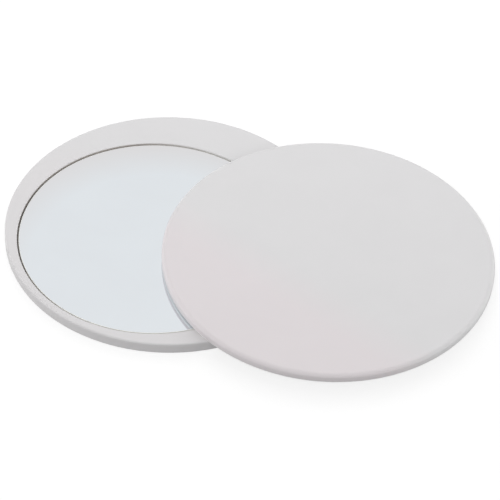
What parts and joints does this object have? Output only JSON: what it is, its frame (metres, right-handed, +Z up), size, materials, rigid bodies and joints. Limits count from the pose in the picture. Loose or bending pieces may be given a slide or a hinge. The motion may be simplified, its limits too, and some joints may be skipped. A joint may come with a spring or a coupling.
{
  "type": "swivel compact mirror",
  "caption": "Thin round compact mirror: a flat tray with an inlaid off-centre mirror, and a round cover that swings sideways over it on a hidden upright friction pivot.",
  "frame": {"origin": "middle of the tray's flat underside, on the surface that it stands on", "axes": "+Z up, out of the mirror's face; the cover's upright pivot stands on +Y"},
  "size_m": [0.0983, 0.0906, 0.0048],
  "materials": {
    "tray_plastic": "satin white moulded ABS",
    "silvered_glass": "polished, silvered on the back",
    "back_coat": "grey mirror back paint",
    "adhesive": "white double-sided foam adhesive",
    "washer_plastic": "natural acetal",
    "cover_plastic": "satin white moulded ABS",
    "insert_brass": "turned and knurled",
    "screw_steel": "nickel plated",
    "washer_steel": "stamped, zinc plated",
    "spring_steel": "spring temper"
  },
  "bodies": {
    "tray": {"tray": "tray_plastic", "mirror_glass": "silvered_glass", "mirror_backing": "back_coat", "adhesive_pad": "adhesive", "slip_washer": "washer_plastic"},
    "cover": {"cover": "cover_plastic", "threaded_insert": "insert_brass", "pivot_screw": "screw_steel", "retaining_washer": "washer_steel", "wave_washer": "spring_steel"}
  },
  "joints": [
    {"name": "cover_swivel", "type": "hinge", "parent": "tray", "child": "cover", "pos_m": [0, 0.02975, 0], "axis": [0, 0, 1], "range_deg": [-72, 108]}
  ]
}
